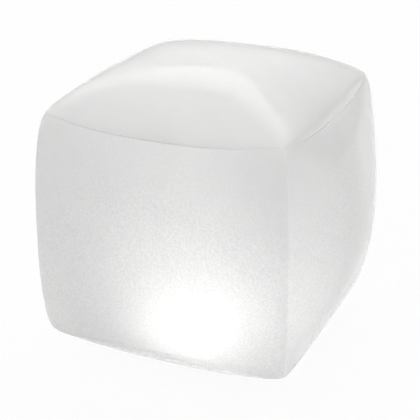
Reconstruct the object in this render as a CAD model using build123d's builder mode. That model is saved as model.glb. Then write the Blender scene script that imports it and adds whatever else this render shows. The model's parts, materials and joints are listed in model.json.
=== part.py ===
"""Inflatable LED cube light: a frosted film cube that stands on a round, battery powered light module.

Millimetres, +Z up, +Y to the back. The origin is on the floor, under the middle of the module.
The cube lifts off the module, the battery door and the power button are on the module's underside,
and the air valve is set into the cube's bottom panel.
"""

import os
from math import copysign, cos, radians, sin

from build123d import *

os.makedirs("parts", exist_ok=True)

# ---------------------------------------------------------------- inflated cube
cube_width = 229.0  # across the crowns of two opposite sides
cube_height = 222.0  # floor to the crown of the top
corner_half_width = 90.4  # from the centre line to a corner, halfway up
corner_taper = 1.1  # a top corner stands this much further in, a bottom corner further out
level_edge_bow = 2.8  # how far a level edge bows outwards at its middle
upright_edge_bow = 4.8  # the same for an upright edge
upper_corner_z = 197.4
lower_corner_z = 26.5
top_edge_sag = 9.0  # the middle of a top edge hangs this far under its corners
bottom_edge_rise = 4.7  # the middle of a bottom edge stands this far over its corners
bottom_crown_z = 0.3  # where the bottom panel would end without the hole for the light module
corner_rounding = 2.0  # how far a corner's tip is drawn in
film = 0.4  # thickness of the film
edge_fullness = 2.7  # exponents of the bulge: a larger one is flatter in the middle
side_fullness = 2.2
cap_fullness = 2.9
side_steepness = 0.9  # exponents too: a smaller one rises more steeply from the seams
top_steepness = 0.6
bottom_steepness = 0.7
corner_tightness = 8
grid_steps = 16  # spaces between the surface points of a panel, each way
grid_crowding = 1.5  # how much closer together they lie along the seams

# ---------------------------------------------------------------- light module
module_radius = 47.0
housing_wall = 2.2
housing_height = 24.0
underside_recess = 1.5  # the underside stands this far over the foot rim
floor_thickness = 2.5
rim_flange_width = 4.8
rim_flange_thickness = 2.5
seal_radius = 44.4  # middle of the ring seal under the lens
seal_width = 1.6
seal_depth = 1.2

lens_radius = 43.5
lens_wall_height = 4.5  # upright wall between the lens's flange and its dome
lens_rise = 17.0  # height of the dome alone
lens_wall = 2.0
lens_flange_thickness = 2.5
lens_flange_inner_radius = 37.0

module_screw_circle = 39.0
module_screw_angles = (55, 125, 232, 308)
module_screw_boss_length = 8.0  # how far the lens's bosses reach down into the housing
module_screw_grip = 4.0  # of the housing's column, between a screw's head and the lens's boss
module_screw_tip_gap = 2.0
screw_column_radius = 3.0

battery_diameter = 10.5
battery_length = 44.5
battery_nub_radius = 1.9
battery_nub_length = 1.0
battery_chamfer = 0.6
battery_count = 3
battery_spacing = 1.0
battery_play = 0.5
leaf_room = 6.7  # what a contact leaf takes up between its plate and the battery
contact_thickness = 0.4
contact_width = 8.5
contact_height = 8.0
contact_tab_width = 3.0
leaf_width = 5.0
leaf_bend_radius = 0.7
leaf_tail_gap = 1.2  # between a leaf's loose end and its plate

bay_centre_y = 4.0
bay_wall = 1.5

door_length = 62.0
door_width = 44.0
door_ear_length = 76.0
door_ear_width = 33.0
door_corner = 4.0
door_thickness = 2.2
door_clearance = 0.3
door_frame_margin = 2.5
door_frame_thickness = 2.0
door_seal_width = 2.0
door_seal_inset = 1.75
door_seal_thickness = 0.9
door_notch_width = 16.0  # of the fingernail notch across the door's back edge
door_notch_reach = 3.0
door_notch_corner = 2.5
door_notch_depth = 1.0
door_screw_inset = 4.5
door_screw_boss_radius = 2.8
door_screw_boss_height = 8.0
edge_rounding = 0.6  # of the module's outer moulded edges

screw_head_radius = 2.1
screw_head_height = 1.4
screw_radius = 1.1
screw_hole_radius = 1.3
screw_head_play = 0.3
screw_socket_across = 1.6
screw_socket_depth = 0.8
door_screw_length = 7.0
board_screw_length = 6.0

button_y = -31.0
button_radius = 6.0
button_clearance = 0.3
button_flange_radius = 8.0
button_flange_thickness = 1.0
button_sink = 0.4  # the button's face lies this far inside the underside
button_travel = 1.0
button_rounding = 1.2
button_ring_wall = 1.5
button_ring_height = 4.0
button_bezel_gap = 1.2  # between the button and the raised ring round it
button_bezel_wall = 1.2
button_bezel_height = 0.5
retainer_thickness = 1.5
retainer_gap = 1.5  # free height over the button's flange
plunger_radius = 2.0
plunger_clearance = 0.1

board_radius = 35.5
board_thickness = 1.6
board_depth = 4.5  # how far the board's underside lies under the housing's rim
board_boss_radius = 2.4
board_boss_places = ((23.0, -21.5), (-23.0, -21.5), (0.0, 31.0))
led_count = 4
led_ring_radius = 10.0
led_size = 5.0
led_height = 1.4
led_window_play = 0.3
chip_size = (5.0, 4.0, 1.5)
chip_x = -8.0
component_gap = 0.5  # between the battery bay and the chip beside it
resistor_size = (3.2, 1.6, 0.6)
resistor_places = ((8.0, 25.0), (13.0, 25.0), (8.0, 28.5), (13.0, 28.5))
switch_size = 6.0
switch_height = 3.5
switch_stem_radius = 1.7
switch_stem_reach = 1.2
switch_stem_clearance = 0.1

reflector_floor_radius = 21.5
reflector_rim_radius = 35.0
reflector_rim_gap = 0.6  # how far the rim lies under the start of the lens's dome
reflector_wall = 1.2

# ---------------------------------------------------------------- light well and collar
well_clearance = 0.6
well_wall = 0.5
well_spring_rise = 2.0  # how much higher the well's dome begins than the lens's
well_crown_gap = 1.0
well_flange_radius = 57.0
well_hole_clearance = 0.2
well_trim_depth = 4.0  # how far under the bottom panel its wall is trimmed away
collar_clearance = 0.4
collar_radius = 55.0
collar_thickness = 1.2
weld_gap = 0.1  # the thickness of the glue or weld between the collar and the film

# ---------------------------------------------------------------- air valve
valve_u = -0.62  # place on the bottom panel, as a share of its half width
valve_v = 0.62
valve_flange_radius = 15.0
valve_flange_thickness = 0.8
valve_cup_radius = 11.0
valve_cup_depth = 4.5
valve_wall = 0.8
valve_stem_radius = 5.5
valve_bore_radius = 4.2
valve_stem_length = 22.0
valve_stem_rise = 1.5  # the stem's mouth lies this far under the flange
valve_flap_thickness = 0.6
plug_clearance = 0.2
plug_length = 10.0
plug_head_radius = 6.5
plug_head_thickness = 1.4
plug_seat_gap = 0.1
plug_tip_chamfer = 0.6
plug_tab_length = 2.2
plug_tab_width = 5.0
strap_width = 4.0
strap_thickness = 0.8
strap_gap = 0.3
valve_hole_clearance = 0.2

# ---------------------------------------------------------------- derived sizes
centre_z = (upper_corner_z + lower_corner_z) / 2
corner_half_height = (upper_corner_z - lower_corner_z) / 2
side_crown = cube_width / 2 - corner_half_width - level_edge_bow - upright_edge_bow
top_crown = cube_height - upper_corner_z + 2 * top_edge_sag
bottom_crown = lower_corner_z - bottom_crown_z + 2 * bottom_edge_rise

floor_bottom_z = underside_recess
floor_top_z = floor_bottom_z + floor_thickness
inner_radius = module_radius - housing_wall
lens_flange_top_z = housing_height + lens_flange_thickness
lens_spring_z = lens_flange_top_z + lens_wall_height
lens_crown_z = lens_spring_z + lens_rise
reflector_rim_z = lens_spring_z - reflector_rim_gap
well_spring_z = lens_spring_z + well_spring_rise

module_screw_column_z = housing_height - module_screw_boss_length
module_screw_seat_z = module_screw_column_z - module_screw_grip
module_screw_length = housing_height - module_screw_tip_gap - module_screw_seat_z

battery_radius = battery_diameter / 2
battery_pitch = battery_diameter + battery_spacing
battery_z = floor_top_z + battery_play + battery_radius
bay_length = battery_length + 2 * contact_thickness + leaf_room
bay_width = battery_count * battery_pitch + battery_play
bay_ceiling_z = battery_z + battery_radius + battery_play
bay_roof_z = bay_ceiling_z + bay_wall
bay_back_y = bay_centre_y + bay_width / 2 + bay_wall
chip_y = bay_back_y + component_gap + chip_size[1] / 2
plate_x = bay_length / 2 - contact_thickness  # inner face of a contact plate

door_top_z = floor_bottom_z + door_thickness
seal_floor_z = floor_top_z - door_seal_thickness
door_screw_x = door_ear_length / 2 - door_screw_inset
door_screw_y = door_ear_width / 2 - door_screw_inset
door_screw_places = [
    (x, bay_centre_y + y) for x in (-door_screw_x, door_screw_x) for y in (-door_screw_y, door_screw_y)
]
module_screw_places = [
    (module_screw_circle * cos(radians(angle)), module_screw_circle * sin(radians(angle)))
    for angle in module_screw_angles
]

board_bottom_z = housing_height - board_depth
board_top_z = board_bottom_z + board_thickness
switch_bottom_z = board_bottom_z - switch_height
stem_bottom_z = switch_bottom_z - switch_stem_reach
button_face_z = floor_bottom_z + button_sink
button_flange_top_z = floor_top_z + button_flange_thickness
button_ring_inner_radius = button_flange_radius + button_clearance
button_bezel_inner_radius = button_radius + button_bezel_gap
retainer_z = button_flange_top_z + retainer_gap
well_radius = module_radius + well_clearance


# ---------------------------------------------------------------- form of the inflated cube
def swell(share, fullness):
    """1 in the middle of an edge or a panel, 0 at its ends."""
    return 1 - abs(share) ** fullness


def tip(a, b):
    """How far a corner's tip is drawn in: nothing away from the corner."""
    return corner_rounding * (a * a * b * b) ** corner_tightness


def side_reach(across, up):
    """Distance of a side panel from the centre line, at a place given in shares of its half size."""
    edges = level_edge_bow * swell(across, edge_fullness) + upright_edge_bow * swell(up, edge_fullness)
    bulge = (swell(across, side_fullness) * swell(up, side_fullness)) ** side_steepness
    return corner_half_width - corner_taper * up + edges + side_crown * bulge - tip(across, up)


def cap_reach(a, b, upper):
    """Height of the top panel over the middle of the cube, or depth of the bottom panel under it."""
    pull = top_edge_sag if upper else bottom_edge_rise
    crown = top_crown if upper else bottom_crown
    edges = pull * (swell(a, edge_fullness) + swell(b, edge_fullness))
    steepness = top_steepness if upper else bottom_steepness
    bulge = (swell(a, cap_fullness) * swell(b, cap_fullness)) ** steepness
    return corner_half_height - edges + crown * bulge - tip(a, b)


def film_point(u, v, w, inset):
    """Point of the inflated form. The shares u, v and w run from -1 to 1 along X, Y and Z."""
    x = u * (side_reach(v, w) - inset)
    y = v * (side_reach(u, w) - inset)
    z = centre_z + w * (cap_reach(u, v, w > 0) - inset)
    return Vector(x, y, z)


def film_face(place, inset):
    """Smooth face through a square grid of points of one panel."""
    steps = [2 * step / grid_steps - 1 for step in range(grid_steps + 1)]
    shares = [copysign(1 - (1 - abs(step)) ** grid_crowding, step) for step in steps]
    points = [[film_point(*place(a, b), inset) for a in shares] for b in shares]
    return Face.make_surface_from_array_of_points(points, tol=0.01, min_deg=3, max_deg=5)


def film_layer(place, outer_inset, inner_inset):
    """Closed layer between two insets of one panel's face, mitred along its four edges."""
    outer = film_face(place, outer_inset)
    inner = film_face(place, inner_inset)
    mitres = [
        Face.make_surface_from_curves(outer_edge, inner_edge)
        for outer_edge, inner_edge in zip(outer.edges(), inner.edges())
    ]
    return Solid(Shell([outer, inner, *mitres]))


def bottom_place(a, b):
    return a, b, -1


panel_places = {
    "top_panel": lambda a, b: (a, b, 1),
    "front_panel": lambda a, b: (a, -1, b),
    "back_panel": lambda a, b: (a, 1, b),
    "left_panel": lambda a, b: (-1, a, b),
    "right_panel": lambda a, b: (1, a, b),
}


def bottom_normal(u, v, step=0.01):
    """Outward direction of the bottom panel at a place."""
    along_u = film_point(u + step, v, -1, 0) - film_point(u - step, v, -1, 0)
    along_v = film_point(u, v + step, -1, 0) - film_point(u, v - step, -1, 0)
    return along_v.cross(along_u).normalized()


valve_plane = Plane(
    origin=film_point(valve_u, valve_v, -1, 0),
    x_dir=Vector(valve_u, valve_v, 0),
    z_dir=bottom_normal(valve_u, valve_v),
)
valve_axis = Axis(valve_plane.origin, valve_plane.z_dir)


def save(part, label):
    part.label = label
    export_step(part, f"parts/{label}.step")


# ---------------------------------------------------------------- film panels
for label, place in panel_places.items():
    with BuildPart() as panel:
        add(film_layer(place, 0, film))
    save(panel.part, label)

with BuildPart() as bottom_panel:
    add(film_layer(bottom_place, 0, film))
    with BuildSketch():
        Circle(well_radius + well_wall + well_hole_clearance)
    extrude(amount=lower_corner_z, both=True, mode=Mode.SUBTRACT)
    with BuildSketch(valve_plane):
        Circle(valve_cup_radius + valve_hole_clearance)
    extrude(amount=valve_cup_depth, both=True, mode=Mode.SUBTRACT)
save(bottom_panel.part, "bottom_panel")


# ---------------------------------------------------------------- round sections
def dome_section(radius, wall, base_z, spring_z, crown_z):
    """Half section of a hollow round dome: an upright wall up to its spring, then a spherical cap."""
    with BuildSketch(Plane.XZ) as section:
        with BuildLine():
            Polyline(
                (radius - wall, spring_z),
                (radius - wall, base_z),
                (radius, base_z),
                (radius, spring_z),
            )
            TangentArc((0, crown_z), (radius, spring_z), tangent=(1, 0))
            Line((0, crown_z), (0, crown_z - wall))
            TangentArc((0, crown_z - wall), (radius - wall, spring_z), tangent=(1, 0))
        make_face()
    return section.sketch


def ring_section(inner, outer, bottom_z, top_z):
    """Half section of a flat ring."""
    with BuildSketch(Plane.XZ) as section:
        with BuildLine():
            Polyline((inner, bottom_z), (outer, bottom_z), (outer, top_z), (inner, top_z), close=True)
        make_face()
    return section.sketch


# ---------------------------------------------------------------- light well and collar
with BuildPart() as well_flange:
    add(film_layer(bottom_place, film, film + well_wall))
    flange_section = ring_section(well_radius, well_flange_radius, bottom_crown_z, lower_corner_z)
    revolve(flange_section, axis=Axis.Z, mode=Mode.INTERSECT)

with BuildPart() as light_well:
    corner_share = well_radius / (corner_half_width + corner_taper + level_edge_bow) * cos(radians(45))
    well_base_z = film_point(corner_share, corner_share, -1, 0).Z
    well_top_z = lens_crown_z + well_crown_gap + well_wall
    well_section = dome_section(well_radius + well_wall, well_wall, well_base_z, well_spring_z, well_top_z)
    revolve(well_section, axis=Axis.Z)
    add(film_layer(bottom_place, -well_trim_depth, film), mode=Mode.SUBTRACT)
    add(well_flange.part)
save(light_well.part, "light_well")

with BuildPart() as well_collar:
    add(film_layer(bottom_place, -collar_thickness, -weld_gap))
    collar_inner_radius = module_radius + collar_clearance
    collar_section = ring_section(collar_inner_radius, collar_radius, -lower_corner_z, lower_corner_z)
    revolve(collar_section, axis=Axis.Z, mode=Mode.INTERSECT)
save(well_collar.part, "well_collar")

# ---------------------------------------------------------------- air valve
with BuildPart() as valve_base:
    add(film_layer(bottom_place, -valve_flange_thickness, 0))
    with BuildSketch(valve_plane):
        Circle(valve_flange_radius)
    extrude(amount=valve_cup_depth, both=True, mode=Mode.INTERSECT)
    with BuildSketch(valve_plane):
        Circle(valve_cup_radius)
    extrude(amount=-valve_cup_depth)
    with BuildSketch(valve_plane.offset(-valve_cup_depth + valve_wall)):
        Circle(valve_cup_radius - valve_wall)
    extrude(amount=2 * valve_cup_depth, mode=Mode.SUBTRACT)
    with BuildSketch(valve_plane.offset(-valve_stem_rise)):
        Circle(valve_stem_radius)
    extrude(amount=valve_stem_rise - valve_stem_length)
    with BuildSketch(valve_plane):
        Circle(valve_bore_radius)
    extrude(amount=-valve_stem_length, mode=Mode.SUBTRACT)
save(valve_base.part, "valve_base")

with BuildPart() as valve_flap:
    with BuildSketch(valve_plane.offset(-valve_stem_length)):
        Circle(valve_stem_radius)
    extrude(amount=-valve_flap_thickness)
save(valve_flap.part, "valve_flap")

plug_head_z = plug_seat_gap - valve_stem_rise  # underside of the plug's head, over the valve's plane
with BuildPart() as valve_plug:
    with BuildSketch(valve_plane.offset(plug_head_z)):
        Circle(plug_head_radius)
        with Locations((plug_head_radius, 0)):
            Ellipse(plug_tab_length, plug_tab_width / 2)
    extrude(amount=plug_head_thickness)
    with BuildSketch(valve_plane.offset(plug_head_z)):
        Circle(valve_bore_radius - plug_clearance)
    extrude(amount=-plug_length)
    tip_edge = valve_plug.edges().filter_by(GeomType.CIRCLE).sort_by(valve_axis)[0]
    chamfer(tip_edge, plug_tip_chamfer)
save(valve_plug.part, "valve_plug")

with BuildPart() as plug_strap:
    strap_start = plug_head_radius + strap_gap
    strap_end = valve_cup_radius - valve_wall
    with BuildSketch(valve_plane.offset(plug_head_z)):
        with Locations((-(strap_start + strap_end) / 2, 0)):
            Rectangle(strap_end - strap_start, strap_width)
        Circle(strap_end, mode=Mode.INTERSECT)
    extrude(amount=strap_thickness)
save(plug_strap.part, "plug_strap")


# ---------------------------------------------------------------- screws
def make_screw(length):
    """Pan head screw with a hexagon socket, pointing up, with the underside of its head at the origin."""
    head = Plane.XY.offset(-screw_head_height)
    with BuildPart() as screw:
        with BuildSketch(head):
            Circle(screw_head_radius)
        extrude(amount=screw_head_height)
        with BuildSketch():
            Circle(screw_radius)
        extrude(amount=length)
        with BuildSketch(head):
            RegularPolygon(screw_socket_across / 2, 6, major_radius=False)
        extrude(amount=screw_socket_depth, mode=Mode.SUBTRACT)
    return screw.part


def seal_outline():
    """Outline of the ring that seals the battery door, and of the groove that it lies in."""
    outer_inset = 2 * door_seal_inset
    inner_inset = outer_inset + 2 * door_seal_width
    with Locations((0, bay_centre_y)):
        RectangleRounded(door_length - outer_inset, door_width - outer_inset, door_corner)
        RectangleRounded(
            door_length - inner_inset, door_width - inner_inset, door_corner / 2, mode=Mode.SUBTRACT
        )


def door_outline(margin):
    """Outline of the battery door, grown by a margin on every side."""
    with Locations((0, bay_centre_y)):
        RectangleRounded(door_length + 2 * margin, door_width + 2 * margin, door_corner + margin)
        RectangleRounded(door_ear_length + 2 * margin, door_ear_width + 2 * margin, door_corner + margin)


def door_notch():
    """Outline of the fingernail notch, half in the door and half in the housing."""
    with Locations((0, bay_centre_y + door_width / 2)):
        RectangleRounded(door_notch_width, 2 * door_notch_reach, door_notch_corner)


# ---------------------------------------------------------------- base housing
seal_section = ring_section(
    seal_radius - seal_width / 2, seal_radius + seal_width / 2, housing_height - seal_depth, housing_height
)
with BuildPart() as base_housing:
    revolve(ring_section(inner_radius, module_radius, 0, housing_height), axis=Axis.Z)
    fillet(base_housing.edges().filter_by(GeomType.CIRCLE).group_by(Axis.Z)[0], edge_rounding)
    rim_inner_radius = module_radius - rim_flange_width
    rim_bottom_z = housing_height - rim_flange_thickness
    revolve(ring_section(rim_inner_radius, module_radius, rim_bottom_z, housing_height), axis=Axis.Z)
    with BuildSketch(Plane.XY.offset(floor_bottom_z)):
        Circle(inner_radius)
    extrude(amount=floor_thickness)
    # the frame that the battery door closes against, and the battery bay over it
    with BuildSketch(Plane.XY.offset(floor_top_z)):
        door_outline(door_frame_margin)
    extrude(amount=door_frame_thickness)
    with BuildSketch(Plane.XY.offset(floor_top_z)):
        with Locations((0, bay_centre_y)):
            Rectangle(bay_length + 2 * bay_wall, bay_width + 2 * bay_wall)
    extrude(amount=bay_roof_z - floor_top_z)
    # columns and bosses for the screws, and the ring round the button
    with BuildSketch(Plane.XY.offset(floor_bottom_z)):
        with Locations(*module_screw_places):
            Circle(screw_column_radius)
    extrude(amount=module_screw_column_z - floor_bottom_z)
    with BuildSketch(Plane.XY.offset(floor_top_z)):
        with Locations(*door_screw_places):
            Circle(door_screw_boss_radius)
    extrude(amount=door_screw_boss_height)
    with BuildSketch(Plane.XY.offset(floor_top_z)):
        with Locations(*board_boss_places):
            Circle(board_boss_radius)
    extrude(amount=board_bottom_z - floor_top_z)
    with BuildSketch(Plane.XY.offset(floor_top_z)):
        with Locations((0, button_y)):
            Circle(button_ring_inner_radius + button_ring_wall)
            Circle(button_ring_inner_radius, mode=Mode.SUBTRACT)
    extrude(amount=button_ring_height)
    with BuildSketch(Plane.XY.offset(floor_bottom_z)):
        with Locations((0, button_y)):
            Circle(button_bezel_inner_radius + button_bezel_wall)
            Circle(button_bezel_inner_radius, mode=Mode.SUBTRACT)
    extrude(amount=-button_bezel_height)
    # everything that is open
    with BuildSketch(Plane.XY.offset(floor_bottom_z)):
        door_outline(door_clearance)
    extrude(amount=floor_thickness, mode=Mode.SUBTRACT)
    with BuildSketch(Plane.XY.offset(floor_bottom_z)):
        door_notch()
    extrude(amount=door_notch_depth, mode=Mode.SUBTRACT)
    with BuildSketch(Plane.XY.offset(floor_top_z)):
        with Locations((0, bay_centre_y)):
            Rectangle(bay_length, bay_width)
    extrude(amount=bay_ceiling_z - floor_top_z, mode=Mode.SUBTRACT)
    with BuildSketch(Plane.XY.offset(floor_top_z)):
        with Locations(*door_screw_places):
            Circle(screw_hole_radius)
    extrude(amount=door_screw_boss_height - door_frame_thickness, mode=Mode.SUBTRACT)
    with BuildSketch(Plane.XY.offset(floor_bottom_z)):
        with Locations(*module_screw_places):
            Circle(screw_head_radius + screw_head_play)
    extrude(amount=module_screw_seat_z - floor_bottom_z, mode=Mode.SUBTRACT)
    with BuildSketch(Plane.XY.offset(module_screw_seat_z)):
        with Locations(*module_screw_places):
            Circle(screw_hole_radius)
    extrude(amount=module_screw_column_z - module_screw_seat_z, mode=Mode.SUBTRACT)
    with BuildSketch(Plane.XY.offset(board_bottom_z)):
        with Locations(*board_boss_places):
            Circle(screw_hole_radius)
    extrude(amount=-board_screw_length, mode=Mode.SUBTRACT)
    with BuildSketch(Plane.XY.offset(floor_bottom_z)):
        with Locations((0, button_y)):
            Circle(button_radius + button_clearance)
    extrude(amount=floor_thickness, mode=Mode.SUBTRACT)
    revolve(seal_section, axis=Axis.Z, mode=Mode.SUBTRACT)
    for side in (-1, 1):
        with BuildSketch(Plane.XY.offset(bay_ceiling_z)):
            with Locations((side * (plate_x + contact_thickness / 2), bay_centre_y + side * battery_pitch)):
                Rectangle(contact_thickness, contact_tab_width)
        extrude(amount=bay_wall, mode=Mode.SUBTRACT)
save(base_housing.part, "base_housing")

# ---------------------------------------------------------------- lens and seal
with BuildPart() as lens_dome:
    lens_section = dome_section(lens_radius, lens_wall, lens_flange_top_z, lens_spring_z, lens_crown_z)
    revolve(lens_section, axis=Axis.Z)
    flange_section = ring_section(
        lens_flange_inner_radius, module_radius, housing_height, lens_flange_top_z
    )
    revolve(flange_section, axis=Axis.Z)
    flange_edges = lens_dome.edges().filter_by(GeomType.CIRCLE).filter_by_position(
        Axis.Z, lens_flange_top_z, lens_flange_top_z
    )
    fillet(flange_edges.sort_by(SortBy.RADIUS)[-1], edge_rounding)
    with BuildSketch(Plane.XY.offset(module_screw_column_z)):
        with Locations(*module_screw_places):
            Circle(screw_column_radius)
    extrude(amount=housing_height - module_screw_column_z)
    with BuildSketch(Plane.XY.offset(module_screw_column_z)):
        with Locations(*module_screw_places):
            Circle(screw_hole_radius)
    extrude(amount=housing_height - module_screw_column_z, mode=Mode.SUBTRACT)
save(lens_dome.part, "lens_dome")

with BuildPart() as lens_seal:
    revolve(seal_section, axis=Axis.Z)
save(lens_seal.part, "lens_seal")

module_screw = make_screw(module_screw_length)
with BuildPart() as module_screws:
    with Locations(*[(x, y, module_screw_seat_z) for x, y in module_screw_places]):
        add(module_screw)
save(module_screws.part, "module_screws")

# ---------------------------------------------------------------- circuit board and lamps
with BuildPart() as circuit_board:
    with BuildSketch(Plane.XY.offset(board_bottom_z)):
        Circle(board_radius)
        with Locations(*board_boss_places):
            Circle(screw_hole_radius, mode=Mode.SUBTRACT)
        for side in (-1, 1):
            with Locations((side * (plate_x + contact_thickness / 2), bay_centre_y + side * battery_pitch)):
                Rectangle(contact_thickness, contact_tab_width, mode=Mode.SUBTRACT)
    extrude(amount=board_thickness)
save(circuit_board.part, "circuit_board")

board_screw = make_screw(board_screw_length)
with BuildPart() as board_screws:
    with Locations(*[(x, y, board_top_z) for x, y in board_boss_places]):
        add(board_screw, rotation=(180, 0, 0))
save(board_screws.part, "board_screws")

with BuildPart() as leds:
    with BuildSketch(Plane.XY.offset(board_top_z)):
        with PolarLocations(led_ring_radius, led_count):
            Rectangle(led_size, led_size)
    extrude(amount=led_height)
save(leds.part, "leds")

with BuildPart() as board_components:
    with BuildSketch(Plane.XY.offset(board_bottom_z)):
        with Locations((chip_x, chip_y)):
            Rectangle(chip_size[0], chip_size[1])
    extrude(amount=-chip_size[2])
    with BuildSketch(Plane.XY.offset(board_bottom_z)):
        with Locations(*resistor_places):
            Rectangle(resistor_size[0], resistor_size[1])
    extrude(amount=-resistor_size[2])
save(board_components.part, "board_components")

with BuildPart() as reflector:
    with BuildSketch(Plane.XZ):
        with BuildLine():
            Polyline(
                (0, board_top_z),
                (reflector_floor_radius, board_top_z),
                (reflector_rim_radius, reflector_rim_z - reflector_wall),
                (reflector_rim_radius, reflector_rim_z),
                (reflector_rim_radius - reflector_wall / 2, reflector_rim_z),
                (reflector_floor_radius - reflector_wall / 2, board_top_z + reflector_wall),
                (0, board_top_z + reflector_wall),
                close=True,
            )
        make_face()
    revolve(axis=Axis.Z)
    with BuildSketch(Plane.XY.offset(board_top_z)):
        with PolarLocations(led_ring_radius, led_count):
            Rectangle(led_size + 2 * led_window_play, led_size + 2 * led_window_play)
    extrude(amount=reflector_wall, mode=Mode.SUBTRACT)
save(reflector.part, "reflector")

# ---------------------------------------------------------------- batteries and contacts
for index in range(battery_count):
    way = 1 if index % 2 == 0 else -1  # every other battery points the other way
    battery_y = bay_centre_y + (index - (battery_count - 1) / 2) * battery_pitch
    body_length = battery_length - battery_nub_length
    tail = Plane(origin=(way * (plate_x - battery_length), battery_y, battery_z), z_dir=(way, 0, 0))
    with BuildPart() as battery:
        with BuildSketch(tail):
            Circle(battery_radius)
        extrude(amount=body_length)
        chamfer(battery.edges().filter_by(GeomType.CIRCLE), battery_chamfer)
        with BuildSketch(tail.offset(body_length)):
            Circle(battery_nub_radius)
        extrude(amount=battery_nub_length)
    save(battery.part, f"battery_{index + 1}")


contact_runs = (  # end wall of the bay, first and last battery row, whether a tab goes up to the board
    (1, 1, 1, True),
    (1, -1, 0, False),
    (-1, 0, 1, False),
    (-1, -1, -1, True),
)
with BuildPart() as contact_plates:
    for side, first, last, has_tab in contact_runs:
        wall_middle = (side * plate_x, bay_centre_y, battery_z)
        wall = Plane(origin=wall_middle, x_dir=(0, side, 0), z_dir=(side, 0, 0))
        with BuildSketch(wall):
            with Locations((side * (first + last) / 2 * battery_pitch, 0)):
                Rectangle(contact_width + (last - first) * battery_pitch, contact_height)
            if has_tab:
                tab_length = board_top_z - battery_z
                with Locations((side * first * battery_pitch, tab_length / 2)):
                    Rectangle(contact_tab_width, tab_length)
        extrude(amount=contact_thickness)
save(contact_plates.part, "contact_plates")

with BuildPart() as contact_leaves:
    for row in range(battery_count):
        side = -1 if row % 2 == 0 else 1  # the flat end of this row's battery
        leaf_y = bay_centre_y + (row - (battery_count - 1) / 2) * battery_pitch
        root_x = side * (plate_x - contact_thickness / 2)
        nose_x = side * (plate_x - leaf_room + contact_thickness / 2)
        tail_x = root_x - side * leaf_tail_gap
        half = contact_height / 2
        with BuildSketch(Plane.XZ.offset(-leaf_y - leaf_width / 2)):
            with BuildLine():
                FilletPolyline(
                    (root_x, battery_z - half),
                    (root_x, battery_z + half),
                    (nose_x, battery_z),
                    (tail_x, battery_z - half),
                    radius=leaf_bend_radius,
                )
            trace(line_width=contact_thickness)
        extrude(amount=leaf_width)
save(contact_leaves.part, "contact_leaves")

# ---------------------------------------------------------------- battery door
with BuildPart() as battery_door:
    with BuildSketch(Plane.XY.offset(floor_bottom_z)):
        door_outline(0)
    extrude(amount=door_thickness)
    fillet(battery_door.edges().group_by(Axis.Z)[0], edge_rounding)
    with BuildSketch(Plane.XY.offset(floor_bottom_z)):
        door_notch()
    extrude(amount=door_notch_depth, mode=Mode.SUBTRACT)
    with BuildSketch(Plane.XY.offset(seal_floor_z)):
        seal_outline()
    extrude(amount=door_top_z - seal_floor_z, mode=Mode.SUBTRACT)
    with BuildSketch(Plane.XY.offset(floor_bottom_z)):
        with Locations(*door_screw_places):
            Circle(screw_head_radius + screw_head_play)
    extrude(amount=screw_head_height, mode=Mode.SUBTRACT)
    with BuildSketch(Plane.XY.offset(floor_bottom_z)):
        with Locations(*door_screw_places):
            Circle(screw_hole_radius)
    extrude(amount=door_thickness, mode=Mode.SUBTRACT)
save(battery_door.part, "battery_door")

with BuildPart() as door_seal:
    with BuildSketch(Plane.XY.offset(seal_floor_z)):
        seal_outline()
    extrude(amount=door_seal_thickness)
save(door_seal.part, "door_seal")

door_screw = make_screw(door_screw_length)
with BuildPart() as door_screws:
    with Locations(*[(x, y, floor_bottom_z + screw_head_height) for x, y in door_screw_places]):
        add(door_screw)
save(door_screws.part, "door_screws")

# ---------------------------------------------------------------- power button and switch
with BuildPart() as power_button:
    with BuildSketch(Plane.XY.offset(button_face_z)):
        with Locations((0, button_y)):
            Circle(button_radius)
    extrude(amount=floor_top_z - button_face_z)
    fillet(power_button.edges().group_by(Axis.Z)[0], button_rounding)
    with BuildSketch(Plane.XY.offset(floor_top_z)):
        with Locations((0, button_y)):
            Circle(button_flange_radius)
    extrude(amount=button_flange_thickness)
save(power_button.part, "power_button")

with BuildPart() as button_retainer:
    with BuildSketch(Plane.XY.offset(retainer_z)):
        with Locations((0, button_y)):
            Circle(button_ring_inner_radius)
            Circle(plunger_radius + plunger_clearance, mode=Mode.SUBTRACT)
    extrude(amount=retainer_thickness)
save(button_retainer.part, "button_retainer")

with BuildPart() as button_plunger:
    with BuildSketch(Plane.XY.offset(button_flange_top_z)):
        with Locations((0, button_y)):
            Circle(plunger_radius)
    extrude(amount=stem_bottom_z - button_flange_top_z)
save(button_plunger.part, "button_plunger")

with BuildPart() as tact_switch:
    with BuildSketch(Plane.XY.offset(switch_bottom_z)):
        with Locations((0, button_y)):
            Rectangle(switch_size, switch_size)
    extrude(amount=switch_height)
    with BuildSketch(Plane.XY.offset(switch_bottom_z)):
        with Locations((0, button_y)):
            Circle(switch_stem_radius + switch_stem_clearance)
    extrude(amount=2 * button_travel + switch_stem_clearance, mode=Mode.SUBTRACT)
save(tact_switch.part, "tact_switch")

with BuildPart() as switch_stem:
    with BuildSketch(Plane.XY.offset(stem_bottom_z)):
        with Locations((0, button_y)):
            Circle(switch_stem_radius)
    extrude(amount=switch_stem_reach + button_travel)
save(switch_stem.part, "switch_stem")
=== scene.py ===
"""Looks of the inflatable LED cube light: frosted film with welded seams, lit from low in its middle."""

import json
import math

import bmesh
import bpy
import numpy as np
from mathutils import Matrix, Vector


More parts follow.
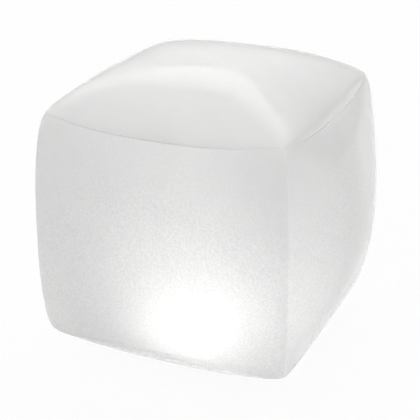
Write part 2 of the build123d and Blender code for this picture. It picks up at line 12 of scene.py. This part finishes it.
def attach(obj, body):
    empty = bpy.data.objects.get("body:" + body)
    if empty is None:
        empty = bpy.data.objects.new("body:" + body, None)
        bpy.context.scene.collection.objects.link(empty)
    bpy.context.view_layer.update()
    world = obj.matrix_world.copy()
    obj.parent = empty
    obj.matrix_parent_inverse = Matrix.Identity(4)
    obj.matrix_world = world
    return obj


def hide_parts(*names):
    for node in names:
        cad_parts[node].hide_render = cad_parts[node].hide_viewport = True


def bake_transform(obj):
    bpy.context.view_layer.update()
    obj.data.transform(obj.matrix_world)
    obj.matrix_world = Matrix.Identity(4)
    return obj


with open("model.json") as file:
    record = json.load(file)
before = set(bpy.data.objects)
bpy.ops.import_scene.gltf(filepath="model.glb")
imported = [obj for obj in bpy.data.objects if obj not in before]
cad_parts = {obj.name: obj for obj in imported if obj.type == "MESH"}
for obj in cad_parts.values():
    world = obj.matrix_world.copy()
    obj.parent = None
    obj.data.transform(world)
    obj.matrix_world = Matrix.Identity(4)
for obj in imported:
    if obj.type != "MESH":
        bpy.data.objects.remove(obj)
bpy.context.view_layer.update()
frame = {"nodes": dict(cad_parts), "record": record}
MM = 0.001

# ---------------------------------------------------------------- form of the cube
# in millimetres, with the same values as the solids
CORNER_HALF_WIDTH = 90.4
CORNER_TAPER = 1.1
LEVEL_EDGE_BOW = 2.8
UPRIGHT_EDGE_BOW = 4.8
UPPER_CORNER_Z = 197.4
LOWER_CORNER_Z = 26.5
TOP_EDGE_SAG = 9.0
BOTTOM_EDGE_RISE = 4.7
BOTTOM_CROWN_Z = 0.3
CORNER_ROUNDING = 2.0
CORNER_TIGHTNESS = 8
EDGE_FULLNESS = 2.7
SIDE_FULLNESS = 2.2
CAP_FULLNESS = 2.9
SIDE_STEEPNESS = 0.9
TOP_STEEPNESS = 0.6
BOTTOM_STEEPNESS = 0.7
CUBE_WIDTH = 229.0
CUBE_HEIGHT = 222.0
FILM = 0.4
WELL_HOLE_RADIUS = 48.3
VALVE_HOLE_RADIUS = 11.2

CENTRE_Z = (UPPER_CORNER_Z + LOWER_CORNER_Z) / 2
CORNER_HALF_HEIGHT = (UPPER_CORNER_Z - LOWER_CORNER_Z) / 2
SIDE_CROWN = CUBE_WIDTH / 2 - CORNER_HALF_WIDTH - LEVEL_EDGE_BOW - UPRIGHT_EDGE_BOW
TOP_CROWN = CUBE_HEIGHT - UPPER_CORNER_Z + 2 * TOP_EDGE_SAG
BOTTOM_CROWN = LOWER_CORNER_Z - BOTTOM_CROWN_Z + 2 * BOTTOM_EDGE_RISE

VALVE_PLACE = Vector((-57.988, 57.988, 9.516)) * MM
VALVE_WAY = Vector((-0.212262, 0.212262, -0.953881)).normalized()

# each panel's first and second axis, the axis across it, and the side it is on
PANELS = {
    "top_panel": (0, 1, 2, 1),
    "bottom_panel": (0, 1, 2, -1),
    "front_panel": (0, 2, 1, -1),
    "back_panel": (0, 2, 1, 1),
    "left_panel": (1, 2, 0, -1),
    "right_panel": (1, 2, 0, 1),
}


def swell(share, fullness):
    return np.clip(1 - np.abs(share) ** fullness, 0, 1)


def tip(a, b):
    return CORNER_ROUNDING * (a * a * b * b) ** CORNER_TIGHTNESS


def side_reach(across, up):
    edges = LEVEL_EDGE_BOW * swell(across, EDGE_FULLNESS) + UPRIGHT_EDGE_BOW * swell(up, EDGE_FULLNESS)
    bulge = (swell(across, SIDE_FULLNESS) * swell(up, SIDE_FULLNESS)) ** SIDE_STEEPNESS
    return CORNER_HALF_WIDTH - CORNER_TAPER * up + edges + SIDE_CROWN * bulge - tip(across, up)


def cap_reach(a, b, upper):
    pull = np.where(upper, TOP_EDGE_SAG, BOTTOM_EDGE_RISE)
    crown = np.where(upper, TOP_CROWN, BOTTOM_CROWN)
    steepness = np.where(upper, TOP_STEEPNESS, BOTTOM_STEEPNESS)
    edges = pull * (swell(a, EDGE_FULLNESS) + swell(b, EDGE_FULLNESS))
    bulge = (swell(a, CAP_FULLNESS) * swell(b, CAP_FULLNESS)) ** steepness
    return CORNER_HALF_HEIGHT - edges + crown * bulge - tip(a, b)


def film_points(u, v, w):
    """Points of the inflated form, in millimetres. The shares run from -1 to 1 along X, Y and Z."""
    x = u * side_reach(v, w)
    y = v * side_reach(u, w)
    z = CENTRE_Z + w * cap_reach(u, v, w > 0)
    return np.stack([x, y, z], axis=-1)


# ---------------------------------------------------------------- node helpers
FINE_DEPTH = 0.0002  # of moulded and embossed textures, in metres


def grey(level):
    return (level, level, level)


def new_material(name):
    made = bpy.data.materials.new(name)
    made.use_nodes = True
    made.node_tree.nodes.clear()
    return made


def node(tree, kind, inputs=None, **settings):
    made = tree.nodes.new(kind)
    for key, value in settings.items():
        setattr(made, key, value)
    for key, value in (inputs or {}).items():
        socket = made.inputs[key]
        if isinstance(value, bpy.types.NodeSocket):
            tree.links.new(value, socket)
        else:
            socket.default_value = value
    return made


def shader(tree, kind, **inputs):
    """Output of a shader node; an underscore in an input's name stands for a space."""
    named = {key.replace("_", " "): value for key, value in inputs.items()}
    return node(tree, kind, named).outputs[0]


def mix(tree, share, first, second):
    return node(tree, "ShaderNodeMixShader", {0: share, 1: first, 2: second}).outputs[0]


def output(tree, surface):
    node(tree, "ShaderNodeOutputMaterial", {"Surface": surface})


def object_place(tree):
    return node(tree, "ShaderNodeTexCoord").outputs["Object"]


def math_node(tree, operation, *values, clamp=False):
    made = node(tree, "ShaderNodeMath", dict(enumerate(values)), operation=operation, use_clamp=clamp)
    return made.outputs[0]


def product(tree, first, *others):
    for other in others:
        first = math_node(tree, "MULTIPLY", first, other)
    return first


def rays(tree, *kinds):
    """1 for the rays of these kinds, and 0 for all others."""
    path = node(tree, "ShaderNodeLightPath").outputs
    total = path[f"Is {kinds[0]} Ray"]
    for kind in kinds[1:]:
        total = math_node(tree, "ADD", total, path[f"Is {kind} Ray"], clamp=True)
    return total


def vector_math(tree, operation, first, second=None):
    inputs = {0: first} if second is None else {0: first, 1: second}
    return node(tree, "ShaderNodeVectorMath", inputs, operation=operation)


def noise(tree, scale, detail=2.0):
    inputs = {"Vector": object_place(tree), "Scale": scale, "Detail": detail, "Roughness": 0.5}
    return node(tree, "ShaderNodeTexNoise", inputs).outputs["Fac"]


def remap(tree, value, low, high, to_low, to_high):
    inputs = {0: value, 1: low, 2: high, 3: to_low, 4: to_high}
    return node(tree, "ShaderNodeMapRange", inputs, clamp=True).outputs[0]


def bump(tree, height, strength, distance=FINE_DEPTH):
    inputs = {"Height": height, "Strength": strength, "Distance": distance}
    return node(tree, "ShaderNodeBump", inputs).outputs["Normal"]


def tint(tree, value, dark, light):
    """Colour that runs from dark to light with a value from 0 to 1."""
    made = node(tree, "ShaderNodeValToRGB", {"Fac": value})
    made.color_ramp.elements[0].color = (*dark, 1)
    made.color_ramp.elements[1].color = (*light, 1)
    return made.outputs["Color"]


# ---------------------------------------------------------------- film material
LAMP_PLACE = (0.0, 0.0, 0.045)
GRAIN_SCALE = 750.0
GRAIN_NEAR, GRAIN_FAR = 0.152, 0.2  # distances from the lamp between which the painted lamp-lit contrast of the grain fades
PASSING_SHARE = 0.42  # of the film's body that lets light through
HAZE = 0.62  # share of the passing light that still shows where the lamp is
TOP_HAZE = 0.18  # the same on the top panel
HAZE_DROP = (0.16, 0.21)  # heights between which the haze falls
HAZE_IOR = 1.95


def pebbles(tree):
    """Normal of a surface with pebbles far smaller than the picture's pixels."""
    random = node(tree, "ShaderNodeTexWhiteNoise", {"Vector": object_place(tree)}).outputs["Color"]
    tilt = vector_math(tree, "SUBTRACT", random, (0.5, 0.5, 0.5)).outputs[0]
    straight = node(tree, "ShaderNodeNewGeometry").outputs["Normal"]
    tilted = vector_math(tree, "ADD", straight, tilt).outputs[0]
    return vector_math(tree, "NORMALIZE", tilted).outputs[0]


def film_material():
    """Frosted film: a diffusing body with a pebbled inside, under a smooth outer gloss."""
    made = new_material("frosted_film")
    tree = made.node_tree
    grain = noise(tree, GRAIN_SCALE, detail=1.0)
    # painted light: the grain's contrast in the film's passing colours is painted stronger near the lamp,
    # standing in for the lamp's light showing the speckle up
    near = vector_math(tree, "DISTANCE", object_place(tree), LAMP_PLACE).outputs["Value"]
    spread = remap(tree, near, GRAIN_NEAR, GRAIN_FAR, 0.16, 1.0)
    lowest = math_node(tree, "SUBTRACT", 0.5, spread)
    highest = math_node(tree, "ADD", 0.5, spread)
    lamp_lit_speckle = remap(tree, grain, lowest, highest, 0.0, 1.0)
    frost = bump(tree, grain, 0.3)
    smooth = bump(tree, noise(tree, 26.0), 0.03, 0.002)
    skin = node(
        tree,
        "ShaderNodeBsdfPrincipled",
        {
            "Base Color": tint(tree, noise(tree, 60.0, detail=3.0), grey(0.79), grey(0.85)),
            "Roughness": 0.45,
            "IOR": 1.45,
            "Specular IOR Level": 0.1,
            "Normal": frost,
        },
    ).outputs[0]
    milk = tint(tree, lamp_lit_speckle, grey(0.72), grey(0.8))
    through = shader(tree, "ShaderNodeBsdfTranslucent", Color=milk, Normal=frost)
    mist = tint(tree, lamp_lit_speckle, grey(0.7), grey(0.97))
    haze = shader(
        tree, "ShaderNodeBsdfRefraction", Color=mist, Roughness=1.0, IOR=HAZE_IOR, Normal=pebbles(tree)
    )
    height = node(tree, "ShaderNodeSeparateXYZ", {0: object_place(tree)}).outputs[2]
    passing = mix(tree, remap(tree, height, *HAZE_DROP, HAZE, TOP_HAZE), through, haze)
    body = mix(tree, PASSING_SHARE, skin, passing)
    gloss = shader(tree, "ShaderNodeBsdfGlossy", Color=(1, 1, 1, 1), Roughness=0.05, Normal=smooth)
    edge = shader(tree, "ShaderNodeFresnel", IOR=1.5, Normal=smooth)
    output(tree, mix(tree, edge, body, gloss))
    return made


def inner_film_material():
    """The film's inner face: the outer face already carries the whole look of the film."""
    made = new_material("film_inner_face")
    output(made.node_tree, shader(made.node_tree, "ShaderNodeBsdfTransparent"))
    return made


# ---------------------------------------------------------------- film panels
SEAM_ROWS = (0.0, 0.08, 0.2, 0.4, 0.7, 1.1, 1.6, 2.3, 3.2, 4.4, 6.0)  # distances from a seam
INNER_ROWS = 72
PUCKER_DEPTH = 0.35
PUCKER_REACH = 9.0  # over which the puckers die away from a seam
PUCKER_START = 1.5  # over which they begin
PUCKER_WAVES = (9, 14, 23)
PUCKER_PITCH = 2.2
HOLE_SIDES = 96


def share_rows():
    """Shares across a panel, from -1 to 1, close together along the seams."""
    edge = [1 - row / CORNER_HALF_WIDTH for row in SEAM_ROWS]
    middle = np.linspace(-edge[-1], edge[-1], INNER_ROWS + 1)[1:-1]
    return np.array([-share for share in edge] + list(middle) + edge[::-1])


def place_on_panel(panel, a, b):
    first, second, across, sign = PANELS[panel]
    uvw = [None, None, None]
    uvw[first] = a
    uvw[second] = b
    uvw[across] = np.full_like(a, float(sign))
    return film_points(*uvw)


def grid_normals(points):
    along = np.gradient(points, axis=0)
    over = np.gradient(points, axis=1)
    normal = np.cross(along, over)
    normal /= np.linalg.norm(normal, axis=-1, keepdims=True)
    outward = points - np.array([0, 0, CENTRE_Z])
    return normal * np.sign((normal * outward).sum(-1, keepdims=True))


def pucker(a, b, distance, seed):
    """Fine gathers that run in from a seam and die away."""
    waves = np.zeros_like(a)
    random = np.random.default_rng(seed)
    for run, rim in ((a, b), (b, a)):
        near = np.exp(-(1 - np.abs(rim)) * CORNER_HALF_WIDTH / PUCKER_REACH)
        for count in PUCKER_WAVES:
            phase = random.uniform(0, 2 * math.pi, 2)
            shift = np.where(rim > 0, phase[0], phase[1])
            waves += near * np.sin(count * run * PUCKER_PITCH + shift) / count
    return waves * (1 - np.exp(-distance / PUCKER_START))


def panel_mesh(panel, seed):
    """Grid over one panel, out to its seams."""
    shares = share_rows()
    a, b = np.meshgrid(shares, shares, indexing="ij")
    points = place_on_panel(panel, a, b)
    normals = grid_normals(points)
    distance = (1 - np.maximum(np.abs(a), np.abs(b))) * CORNER_HALF_WIDTH
    points = points - normals * (PUCKER_DEPTH * np.abs(pucker(a, b, distance, seed)))[..., None]
    count = len(shares)
    vertices = [tuple(point * MM) for point in points.reshape(-1, 3)]
    faces = []
    for i in range(count - 1):
        for j in range(count - 1):
            here, beyond = i * count + j, (i + 1) * count + j
            faces.append((here, beyond, beyond + 1, here + 1))
    mesh = bpy.data.meshes.new(panel)
    mesh.from_pydata(vertices, [], faces)
    mesh.update()
    return mesh


def face_outwards(mesh):
    """Turns the faces so that their normals point away from the cube's middle."""
    work = bmesh.new()
    work.from_mesh(mesh)
    bmesh.ops.recalc_face_normals(work, faces=work.faces)
    work.faces.ensure_lookup_table()
    sample = work.faces[len(work.faces) // 3]
    if sample.normal.dot(sample.calc_center_median() - Vector((0, 0, CENTRE_Z * MM))) < 0:
        bmesh.ops.reverse_faces(work, faces=work.faces)
    work.to_mesh(mesh)
    work.free()


def cut_round(piece, centre, axis, radius, depth):
    """Cuts a round hole through a sheet, as a polygon of many sides."""
    work = bmesh.new()
    work.from_mesh(piece.data)
    turn = axis.to_track_quat("Z", "Y")
    for k in range(HOLE_SIDES):
        angle = 2 * math.pi * k / HOLE_SIDES
        normal = turn @ Vector((math.cos(angle), math.sin(angle), 0))
        # only the faces beside this side of the polygon are cut
        beside = []
        for face in work.faces:
            offset = face.calc_center_median() - centre
            if offset.length >= radius + depth:
                continue
            flat = offset - axis * offset.dot(axis)
            if flat.length > 1e-9 and flat.normalized().dot(normal) > math.cos(math.pi / HOLE_SIDES) - 0.02:
                beside.append(face)
        edges = list({edge for face in beside for edge in face.edges})
        corners = list({corner for face in beside for corner in face.verts})
        bmesh.ops.bisect_plane(
            work, geom=edges + beside + corners, dist=1e-6, plane_co=centre + normal * radius, plane_no=normal
        )
    gone = []
    for face in work.faces:
        offset = face.calc_center_median() - centre
        flat = offset - axis * offset.dot(axis)
        if abs(offset.dot(axis)) < depth and flat.length < radius * 0.9995:
            gone.append(face)
    bmesh.ops.delete(work, geom=gone, context="FACES")
    work.to_mesh(piece.data)
    work.free()


def new_piece(name, mesh):
    for polygon in mesh.polygons:
        polygon.use_smooth = True
    piece = bpy.data.objects.new(name, mesh)
    bpy.context.scene.collection.objects.link(piece)
    return piece


def thicken(piece):
    solid = piece.modifiers.new("thickness", "SOLIDIFY")
    solid.thickness = FILM * MM
    solid.offset = -1
    solid.material_offset = 1
    solid.material_offset_rim = 1


film_look = film_material()
inner_look = inner_film_material()
for seed, panel in enumerate(PANELS):
    mesh = panel_mesh(panel, seed)
    face_outwards(mesh)
    mesh.materials.append(film_look)
    mesh.materials.append(inner_look)
    piece = new_piece("film_" + panel, mesh)
    if panel == "bottom_panel":
        cut_round(piece, Vector((0, 0, 0)), Vector((0, 0, 1)), WELL_HOLE_RADIUS * MM, 0.02)
        cut_round(piece, VALVE_PLACE, VALVE_WAY, VALVE_HOLE_RADIUS * MM, 0.006)
    thicken(piece)
    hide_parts(panel)
    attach(piece, "inflated_cube")


# ---------------------------------------------------------------- other materials
LENS_LIGHT = 23.0  # of the crown, for the film and the rest of the object
LENS_LOOK = 0.32  # of the crown, where it is looked at directly
LENS_WALL_LIGHT = 0.25  # share of the crown's light that the upright wall has
LENS_FOOT_LIGHT = 0.35  # share at the crown's edge


def clear_film_material():
    """Clear film, a little milky where it is looked at directly."""
    made = new_material("clear_film")
    tree = made.node_tree
    clear = shader(tree, "ShaderNodeBsdfTransparent", Color=(0.96, 0.96, 0.96, 1))
    shine = shader(tree, "ShaderNodeBsdfGlossy", Color=(0.9, 0.9, 0.9, 1), Roughness=0.08)
    edge = shader(tree, "ShaderNodeFresnel", IOR=1.35)
    cloud = noise(tree, 90.0, detail=3.0)
    grain = bump(tree, noise(tree, 800.0), 0.15)
    white = tint(tree, cloud, grey(0.76), grey(0.84))
    milky = shader(tree, "ShaderNodeBsdfPrincipled", Base_Color=white, Roughness=0.4, Normal=grain)
    share = product(tree, rays(tree, "Camera"), remap(tree, cloud, 0.3, 0.7, 0.62, 0.74))
    output(tree, mix(tree, edge, mix(tree, share, clear, milky), shine))
    return made


def moulded(name, color, roughness, texture_scale=1400.0, texture=0.12, coat=0.0):
    """Injection moulded plastic: spark eroded texture, faint flow marks and slightly uneven gloss."""
    made = new_material(name)
    tree = made.node_tree
    fine = noise(tree, texture_scale)
    flow = noise(tree, 18.0, detail=3.0)
    skin = shader(
        tree,
        "ShaderNodeBsdfPrincipled",
        Base_Color=tint(tree, flow, tuple(channel * 0.96 for channel in color), color),
        Roughness=remap(tree, flow, 0.3, 0.7, roughness - 0.05, roughness + 0.05),
        Normal=bump(tree, fine, texture),
        Coat_Weight=coat,
    )
    output(tree, skin)
    return made


def rubber(name, color, roughness=0.55):
    return moulded(name, color, roughness, texture_scale=2200.0, texture=0.2)


def metal(name, color, roughness):
    """Bare metal with fine scratches."""
    made = new_material(name)
    tree = made.node_tree
    scratch = noise(tree, 900.0, detail=4.0)
    skin = shader(
        tree,
        "ShaderNodeBsdfPrincipled",
        Base_Color=tint(tree, scratch, tuple(channel * 0.9 for channel in color), color),
        Metallic=1.0,
        Roughness=remap(tree, scratch, 0.3, 0.7, roughness - 0.06, roughness + 0.08),
        Normal=bump(tree, scratch, 0.08),
    )
    output(tree, skin)
    return made


def lens_material():
    """Frosted diffuser, lit from inside: brightest over the diodes, dimmer towards its foot."""
    made = new_material("lens_plastic")
    tree = made.node_tree
    split = node(tree, "ShaderNodeSeparateXYZ", {0: object_place(tree)})
    flat = node(tree, "ShaderNodeCombineXYZ", {0: split.outputs[0], 1: split.outputs[1]})
    radius = vector_math(tree, "LENGTH", flat.outputs[0]).outputs["Value"]
    crown = remap(tree, radius, 0.006, 0.041, 1.0, LENS_FOOT_LIGHT)
    wall = remap(tree, radius, 0.0415, 0.043, 0.0, LENS_WALL_LIGHT)
    # looked at directly, the lens keeps its form instead of clipping to white
    strength = remap(tree, rays(tree, "Camera"), 0.0, 1.0, LENS_LIGHT, LENS_LOOK)
    fine = noise(tree, 1600.0)
    skin = shader(
        tree,
        "ShaderNodeBsdfPrincipled",
        Base_Color=tint(tree, fine, (0.68, 0.68, 0.67), (0.74, 0.74, 0.73)),
        Roughness=0.35,
        Emission_Color=(1.0, 0.99, 0.97, 1),
        Emission_Strength=product(tree, math_node(tree, "ADD", crown, wall), strength),
        Normal=bump(tree, fine, 0.15),
    )
    output(tree, skin)
    return made


SLOT_MATERIALS = {
    "clear_film": clear_film_material(),
    "collar_vinyl": rubber("collar_vinyl", (0.84, 0.84, 0.85), 0.35),
    "valve_vinyl": rubber("valve_vinyl", (0.82, 0.84, 0.85), 0.3),
    "housing_plastic": moulded("housing_plastic", (0.80, 0.80, 0.79), 0.42),
    "lens_plastic": lens_material(),
    "seal_rubber": rubber("seal_rubber", (0.05, 0.05, 0.055)),
    "screw_steel": metal("screw_steel", (0.62, 0.62, 0.63), 0.28),
    "board_laminate": moulded("board_laminate", (0.78, 0.8, 0.78), 0.35, texture=0.03),
    "led_package": moulded("led_package", (0.9, 0.86, 0.6), 0.2, texture=0.02),
    "component_plastic": moulded("component_plastic", (0.03, 0.03, 0.035), 0.4),
    "reflector_plastic": moulded("reflector_plastic", (0.88, 0.88, 0.88), 0.2, texture=0.02),
    "battery_jacket": moulded("battery_jacket", (0.05, 0.11, 0.17), 0.25, texture=0.02, coat=0.4),
    "contact_metal": metal("contact_metal", (0.75, 0.73, 0.68), 0.2),
    "button_rubber": rubber("button_rubber", (0.38, 0.40, 0.42)),
}
for subpart in frame["record"]["subparts"]:
    if subpart["node"] not in PANELS:
        mesh = frame["nodes"][subpart["node"]].data
        mesh.materials.clear()
        mesh.materials.append(SLOT_MATERIALS[subpart["material_slot"]])


# ---------------------------------------------------------------- the valve plug's strap
STRAP_WIDTH = 4.0
STRAP_WAIST = 0.22  # share of its width that it loses in the middle
STRAP_THICKNESS = 0.8
STRAP_HEIGHT = -1.4  # of its inner face over the valve's plane
STRAP_START = 6.2  # inside the plug's head
STRAP_END = 10.5  # inside the wall of the valve's cup
STRAP_STEPS = 16
STRAP_SIDES = 16


def strap_mesh(side):
    """A soft flat strap with rounded edges, waisted in the middle, from the valve's cup to its plug."""
    over = VALVE_WAY.cross(side)
    ring = []
    for k in range(STRAP_SIDES):
        angle = 2 * math.pi * k / STRAP_SIDES
        c, s = math.cos(angle), math.sin(angle)
        ring.append((math.copysign(abs(c) ** 0.4, c) / 2, math.copysign(abs(s) ** 0.6, s) / 2))
    vertices, faces = [], []
    for step in range(STRAP_STEPS + 1):
        share = step / STRAP_STEPS
        reach = STRAP_START + (STRAP_END - STRAP_START) * share
        width = STRAP_WIDTH * (1 - STRAP_WAIST * math.sin(math.pi * share))
        for across, up in ring:
            height = STRAP_HEIGHT + STRAP_THICKNESS * (0.5 + up)
            place = VALVE_PLACE + (VALVE_WAY * height - side * reach + over * across * width) * MM
            vertices.append(tuple(place))
    for step in range(STRAP_STEPS):
        start = step * STRAP_SIDES
        following = start + STRAP_SIDES
        for k in range(STRAP_SIDES):
            after = (k + 1) % STRAP_SIDES
            faces.append((start + k, start + after, following + after, following + k))
    last = STRAP_STEPS * STRAP_SIDES
    faces.append(tuple(range(STRAP_SIDES - 1, -1, -1)))
    faces.append(tuple(range(last, last + STRAP_SIDES)))
    mesh = bpy.data.meshes.new("strap")
    mesh.from_pydata(vertices, [], faces)
    return mesh


def strap_piece():
    side = Vector((VALVE_PLACE.x, VALVE_PLACE.y, 0)).normalized()
    side = (side - VALVE_WAY * side.dot(VALVE_WAY)).normalized()
    mesh = strap_mesh(side)
    mesh.materials.append(SLOT_MATERIALS["valve_vinyl"])
    piece = new_piece("soft_plug_strap", mesh)
    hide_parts("plug_strap")
    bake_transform(piece)


strap_piece()


# ---------------------------------------------------------------- floor
FLOOR_HALF = 4.0
FLOOR_WHITE = 0.93  # share of plain white that the eye, gloss and clear film see
FLOOR_GLOW = 0.35  # the same share for all other light


def build_floor():
    """White floor that keeps a faint shadow, and is clear from below."""
    corners = [(-1, -1), (1, -1), (1, 1), (-1, 1)]
    mesh = bpy.data.meshes.new("floor")
    mesh.from_pydata([(x * FLOOR_HALF, y * FLOOR_HALF, 0) for x, y in corners], [], [(0, 1, 2, 3)])
    floor = bpy.data.objects.new("floor", mesh)
    bpy.context.scene.collection.objects.link(floor)
    made = new_material("floor")
    tree = made.node_tree
    seen = rays(tree, "Camera", "Glossy", "Transmission")
    matte = shader(tree, "ShaderNodeBsdfDiffuse", Color=(0.93, 0.93, 0.93, 1))
    white = shader(tree, "ShaderNodeEmission", Color=(1, 1, 1, 1), Strength=1.0)
    top = mix(tree, remap(tree, seen, 0.0, 1.0, FLOOR_GLOW, FLOOR_WHITE), matte, white)
    under = node(tree, "ShaderNodeNewGeometry").outputs["Backfacing"]
    output(tree, mix(tree, under, top, shader(tree, "ShaderNodeBsdfTransparent")))
    mesh.materials.append(made)


# ---------------------------------------------------------------- studio
# each stop is a turn in degrees from the back of the cube, with a height in degrees or a light
STUDIO_SPAN = (-60, 120)
WINDOW_TOP = (
    (-60, 84),
    (0, 80),
    (8, 76),
    (15, 70),
    (20, 65),
    (26, 50),
    (31, 43),
    (48, 40),
    (76, 34),
    (120, 30),
)
WINDOW_SILL = (
    (-60, 5),
    (-30, 21),
    (-20, 39),
    (-10, 46),
    (0, 47),
    (10, 41),
    (15, 32),
    (20, 25),
    (24, 20),
    (30, 23),
    (38, 27),
    (60, 29),
    (120, 29.5),
)
WINDOW_LIGHT = ((-60, 0.0), (-40, 0.3), (-20, 1.1), (8, 1.3), (18, 0.8), (50, 0.75), (75, 0.4), (120, 0.0))
SILL_GLOW = ((-60, 0.0), (0, 0.0), (12, 0.1), (20, 0.35), (60, 0.35), (120, 0.0))
HORIZON_LIGHT = 0.6
ROOM_LIGHT = 0.78
ROOM_RISE = 25.0  # height at which the light of the horizon has become that of the room
RIGHT_SIDE = 0.5
FRONT_FILL = 1.3


def ramp(tree, value, low, high, stops):
    """Value of a broken line: stops are (place, height) pairs, places between low and high."""
    share = remap(tree, value, low, high, 0.0, 1.0)
    made = node(tree, "ShaderNodeValToRGB", {"Fac": share})
    elements = made.color_ramp.elements
    peak = max(height for _, height in stops)
    places = [(place - low) / (high - low) for place, _ in stops]
    elements[0].position = places[0]
    elements[1].position = places[-1]
    for place in places[1:-1]:
        elements.new(place)
    for element, (_, height) in zip(elements, stops):
        element.color = (*grey(height / peak), 1)
    return math_node(tree, "MULTIPLY", made.outputs["Color"], peak)


def build_world():
    """White for the eye and through clear film. The object is lit by, and reflects, an even studio
    with a broad window behind it."""
    world = bpy.data.worlds.new("studio")
    world.use_nodes = True
    bpy.context.scene.world = world
    tree = world.node_tree
    tree.nodes.clear()
    split = node(tree, "ShaderNodeSeparateXYZ", {0: node(tree, "ShaderNodeTexCoord").outputs["Generated"]})
    x, y, z = split.outputs
    degree = 180 / math.pi
    height = product(tree, math_node(tree, "ARCSINE", z), degree)
    turn = product(tree, math_node(tree, "ARCTAN2", product(tree, x, -1.0), y), degree)

    def around(stops):
        return ramp(tree, turn, *STUDIO_SPAN, stops)

    def over_line(stops):
        return math_node(tree, "SUBTRACT", height, around(stops))

    over_sill = remap(tree, over_line(WINDOW_SILL), -1.0, 1.0, 0.0, 1.0)
    under_top = remap(tree, over_line(WINDOW_TOP), -2.5, 2.5, 1.0, 0.0)
    window = product(tree, over_sill, under_top, around(WINDOW_LIGHT))
    # the right side of the studio is further away from its lamps, and the front is nearer
    room = product(
        tree,
        remap(tree, height, 0.0, ROOM_RISE, HORIZON_LIGHT, ROOM_LIGHT),
        remap(tree, x, 0.3, 0.9, 1.0, RIGHT_SIDE),
        remap(tree, y, -0.8, 0.1, FRONT_FILL, 1.0),
    )
    # the wall under the window catches some of its light
    rise = remap(tree, height, 4.0, 28.0, 0.0, 1.0)
    beneath = remap(tree, over_line(WINDOW_SILL), -3.0, -1.5, 1.0, 0.0)
    wall = product(tree, beneath, product(tree, rise, around(SILL_GLOW)))
    level = math_node(tree, "ADD", math_node(tree, "ADD", window, room), wall)
    studio = shader(tree, "ShaderNodeBackground", Color=(1, 1, 1, 1), Strength=level)
    white = shader(tree, "ShaderNodeBackground", Color=(1, 1, 1, 1), Strength=1.0)
    surface = mix(tree, rays(tree, "Camera", "Transmission"), studio, white)
    node(tree, "ShaderNodeOutputWorld", {"Surface": surface})


# ---------------------------------------------------------------- camera
CAMERA_AZIMUTH = 23.84
CAMERA_ELEVATION = 22.97
CAMERA_ROLL = -0.34
CAMERA_DISTANCE = 0.88265
CAMERA_LENS = 101.13
SENSOR = 36.0
SHIFT_X = -0.0081
SHIFT_Y = -0.0258


def build_camera():
    azimuth = math.radians(CAMERA_AZIMUTH)
    elevation = math.radians(CAMERA_ELEVATION)
    level = math.cos(elevation)
    back = Vector((math.sin(azimuth) * level, -math.cos(azimuth) * level, math.sin(elevation)))
    data = bpy.data.cameras.new("camera")
    data.lens = CAMERA_LENS
    data.sensor_width = SENSOR
    data.shift_x = SHIFT_X
    data.shift_y = SHIFT_Y
    camera = bpy.data.objects.new("camera", data)
    turn = back.to_track_quat("Z", "Y").to_matrix() @ Matrix.Rotation(math.radians(CAMERA_ROLL), 3, "Z")
    camera.location = Vector((0, 0, CENTRE_Z * MM)) + back * CAMERA_DISTANCE
    camera.rotation_euler = turn.to_euler()
    bpy.context.scene.collection.objects.link(camera)
    bpy.context.scene.camera = camera


build_floor()
build_world()
build_camera()
bpy.context.scene.view_settings.view_transform = "Standard"
